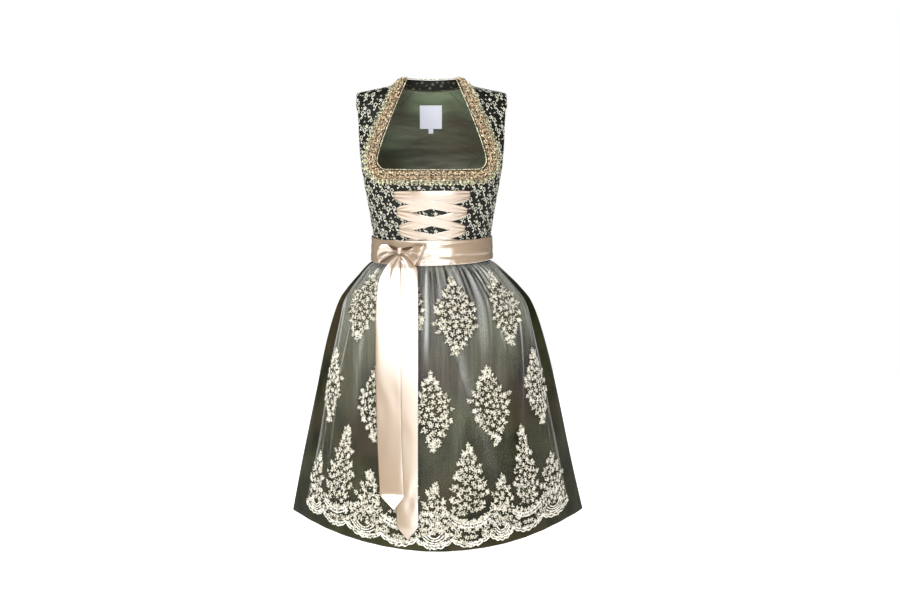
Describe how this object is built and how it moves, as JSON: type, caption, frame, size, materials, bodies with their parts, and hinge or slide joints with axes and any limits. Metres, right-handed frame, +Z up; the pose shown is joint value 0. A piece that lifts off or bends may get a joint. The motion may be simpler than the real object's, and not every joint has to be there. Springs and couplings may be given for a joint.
{
  "type": "dirndl dress",
  "caption": "Sleeveless dirndl dress, open and hollow as worn: laced bodice with square neckline, full gathered skirt, sheer lace apron and a ribbon belt tied in a bow.",
  "frame": {"origin": "midway between the two shoulder straps, level with the neck points, where the wearer's shoulders hold the dress", "axes": "+Z up, the front faces -Y, +X is the viewer's right"},
  "size_m": [0.6708, 0.5483, 0.9865],
  "materials": {
    "brocade": "matt ground with silvery scrolls",
    "lining": "soft sheen",
    "label": "plain woven tape, bare",
    "braid": "metallic thread on a cloth ground",
    "edging": "pale corded lace",
    "satin": "glossy satin",
    "taffeta": "crisp half-sheen",
    "tulle": "fine sheer net",
    "lace": "corded ivory embroidery"
  },
  "bodies": {
    "root": {"centre_front_left": "brocade", "centre_front_right": "brocade", "side_front_left": "brocade", "side_front_right": "brocade", "side_back_left": "brocade", "side_back_right": "brocade", "centre_back": "brocade", "back_neck_facing": "brocade", "lining_centre": "lining", "lining_left": "lining", "lining_right": "lining", "neck_label": "label", "size_tab": "label", "neck_braid_left": "braid", "neck_braid_right": "braid", "neck_edging_left": "edging", "neck_edging_right": "edging", "neck_binding": "edging", "lacing_bar": "satin", "lacing_over_1": "satin", "lacing_over_2": "satin", "lacing_over_3": "satin", "lacing_under_1": "satin", "lacing_under_2": "satin", "lacing_under_3": "satin", "belt": "satin", "bow_knot": "satin", "bow_loop_left": "satin", "bow_loop_right": "satin", "bow_tail_left": "satin", "bow_tail_right": "satin", "skirt_front": "taffeta", "skirt_back": "taffeta", "apron": "tulle", "lace_border": "lace", "motif_top_1": "lace", "motif_top_2": "lace", "motif_top_3": "lace", "motif_top_4": "lace", "motif_middle_1": "lace", "motif_middle_2": "lace", "motif_middle_3": "lace", "motif_middle_4": "lace", "motif_middle_5": "lace", "spray_1": "lace", "spray_2": "lace", "spray_3": "lace", "spray_4": "lace", "spray_5": "lace", "spray_6": "lace", "spray_7": "lace", "spray_8": "lace", "spray_9": "lace"}
  },
  "joints": []
}
